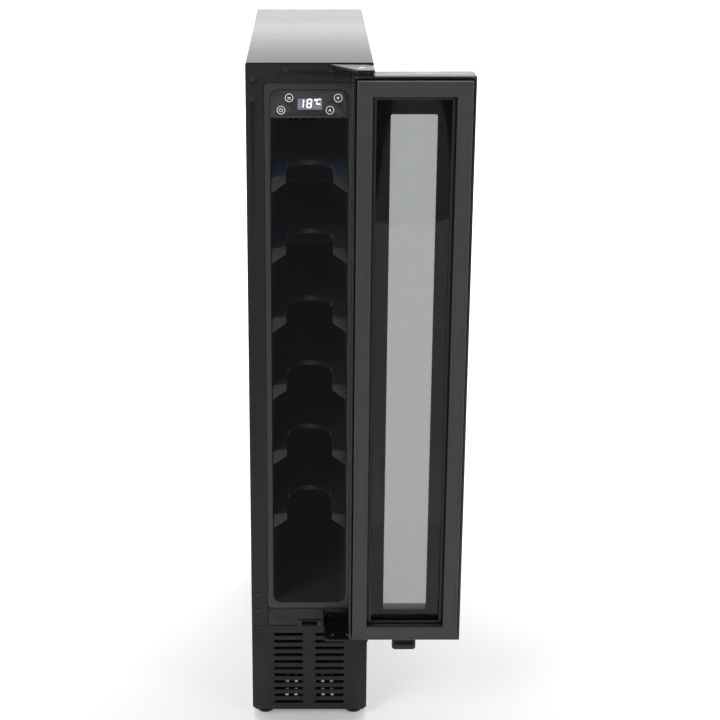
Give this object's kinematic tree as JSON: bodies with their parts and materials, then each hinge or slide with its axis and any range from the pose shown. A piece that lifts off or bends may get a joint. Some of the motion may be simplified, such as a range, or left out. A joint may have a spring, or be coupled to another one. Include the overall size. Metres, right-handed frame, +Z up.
{
  "type": "wine cooler",
  "caption": "Tall slim built-in wine cooler with a glass door swung fully open, pull-out bottle shelves, a touch control panel, a slotted base grille and its cooling machine.",
  "frame": {"origin": "on the floor, under the middle of the cabinet's front face, the plane that is set flush with the furniture", "axes": "+Z up, +X to the right seen from the front, +Y from the front towards the wall behind"},
  "size_m": [0.2619, 0.5457, 0.85],
  "materials": {
    "case_paint": "gloss",
    "back_steel": "satin",
    "zinc_steel": "satin",
    "foam": "matte",
    "liner_plastic": "satin",
    "rail_paint": "satin",
    "grille_plastic": "satin",
    "trim_plastic": "satin",
    "bracket_steel": "gloss",
    "pin_steel": "polished",
    "screw_black": "satin",
    "inner_plastic": "satin",
    "aluminium_fins": "satin",
    "fan_plastic": "satin",
    "sensor_white": "satin",
    "panel_plastic": "satin",
    "display_lens": "gloss",
    "board_green": "satin",
    "icon_white": "satin",
    "lamp_white": "satin",
    "shelf_plastic": "satin",
    "coil_black": "satin",
    "compressor_black": "gloss",
    "rubber_black": "matte",
    "copper": "satin",
    "clear_hose": "satin",
    "tray_plastic": "satin",
    "door_aluminium": "satin",
    "outer_pane": "gloss",
    "inner_pane": "gloss",
    "black_print": "gloss",
    "spacer_grey": "satin",
    "gasket_rubber": "matte",
    "magnet": "matte",
    "bush_nylon": "satin"
  },
  "bodies": {
    "cabinet": {"outer_case": "case_paint", "back_panel": "back_steel", "base_plate": "zinc_steel", "deck_plate": "zinc_steel", "insulation": "foam", "liner": "liner_plastic", "cross_rail": "rail_paint", "front_grille": "grille_plastic", "grille_keeper": "trim_plastic", "hole_plugs": "trim_plastic", "hinge_bracket_top": "bracket_steel", "hinge_bracket_bottom": "bracket_steel", "hinge_pins": "pin_steel", "hinge_screws": "screw_black", "evaporator_cover": "inner_plastic", "evaporator": "aluminium_fins", "circulation_fan_frame": "fan_plastic", "temperature_sensor": "sensor_white", "control_panel": "panel_plastic", "control_housing": "inner_plastic", "display_window": "display_lens", "display_board": "board_green", "touch_pads": "icon_white", "led_strip": "lamp_white", "condenser_coil": "coil_black", "condenser_fan_frame": "fan_plastic", "compressor": "compressor_black", "compressor_mounts": "rubber_black", "terminal_box": "trim_plastic", "refrigerant_pipes": "copper", "drain_tube": "clear_hose", "drip_tray": "tray_plastic", "power_box": "trim_plastic", "mains_inlet": "trim_plastic", "rear_grille": "zinc_steel", "rear_spacers": "rubber_black", "foot_sockets": "zinc_steel"},
    "door": {"door_rails": "door_aluminium", "corner_keys": "zinc_steel", "outer_glass": "outer_pane", "inner_glass": "inner_pane", "glass_masks": "black_print", "glazing_spacer": "spacer_grey", "door_gasket": "gasket_rubber", "gasket_magnets": "magnet", "gasket_retainer": "trim_plastic", "hinge_bushes": "bush_nylon", "door_pull": "trim_plastic"},
    "shelf_1": {"shelf_1": "shelf_plastic"},
    "shelf_2": {"shelf_2": "shelf_plastic"},
    "shelf_3": {"shelf_3": "shelf_plastic"},
    "shelf_4": {"shelf_4": "shelf_plastic"},
    "shelf_5": {"shelf_5": "shelf_plastic"},
    "shelf_6": {"shelf_6": "shelf_plastic"},
    "circulation_impeller": {"circulation_fan_rotor": "fan_plastic"},
    "condenser_impeller": {"condenser_fan_rotor": "fan_plastic"},
    "foot_front_left": {"foot_front_left": "rubber_black"},
    "foot_front_right": {"foot_front_right": "rubber_black"},
    "foot_rear_left": {"foot_rear_left": "rubber_black"},
    "foot_rear_right": {"foot_rear_right": "rubber_black"}
  },
  "joints": [
    {"name": "door_hinge", "type": "hinge", "parent": "cabinet", "child": "door", "pos_m": [0.0593, -0.0285, 0.135], "axis": [0, 0, 1], "range_deg": [-180, 0]},
    {"name": "shelf_1_slide", "type": "slide", "parent": "cabinet", "child": "shelf_1", "axis": [0, -1, 0], "range_m": [0, 0.22]},
    {"name": "shelf_2_slide", "type": "slide", "parent": "cabinet", "child": "shelf_2", "axis": [0, -1, 0], "range_m": [0, 0.22]},
    {"name": "shelf_3_slide", "type": "slide", "parent": "cabinet", "child": "shelf_3", "axis": [0, -1, 0], "range_m": [0, 0.22]},
    {"name": "shelf_4_slide", "type": "slide", "parent": "cabinet", "child": "shelf_4", "axis": [0, -1, 0], "range_m": [0, 0.22]},
    {"name": "shelf_5_slide", "type": "slide", "parent": "cabinet", "child": "shelf_5", "axis": [0, -1, 0], "range_m": [0, 0.22]},
    {"name": "shelf_6_slide", "type": "slide", "parent": "cabinet", "child": "shelf_6", "axis": [0, -1, 0], "range_m": [0, 0.22]},
    {"name": "circulation_fan_spin", "type": "hinge", "parent": "cabinet", "child": "circulation_impeller", "pos_m": [0, 0.387, 0.7], "axis": [0, 1, 0], "continuous": true},
    {"name": "condenser_fan_spin", "type": "hinge", "parent": "cabinet", "child": "condenser_impeller", "pos_m": [0, 0.0965, 0.072], "axis": [0, 1, 0], "continuous": true},
    {"name": "foot_front_left_turn", "type": "hinge", "parent": "cabinet", "child": "foot_front_left", "pos_m": [-0.0575, 0.016, 0], "axis": [0, 0, 1], "range_deg": [0, 3240]},
    {"name": "foot_front_right_turn", "type": "hinge", "parent": "cabinet", "child": "foot_front_right", "pos_m": [0.0575, 0.016, 0], "axis": [0, 0, 1], "range_deg": [0, 3240]},
    {"name": "foot_rear_left_turn", "type": "hinge", "parent": "cabinet", "child": "foot_rear_left", "pos_m": [-0.0575, 0.457, 0], "axis": [0, 0, 1], "range_deg": [0, 3240]},
    {"name": "foot_rear_right_turn", "type": "hinge", "parent": "cabinet", "child": "foot_rear_right", "pos_m": [0.0575, 0.457, 0], "axis": [0, 0, 1], "range_deg": [0, 3240]}
  ]
}
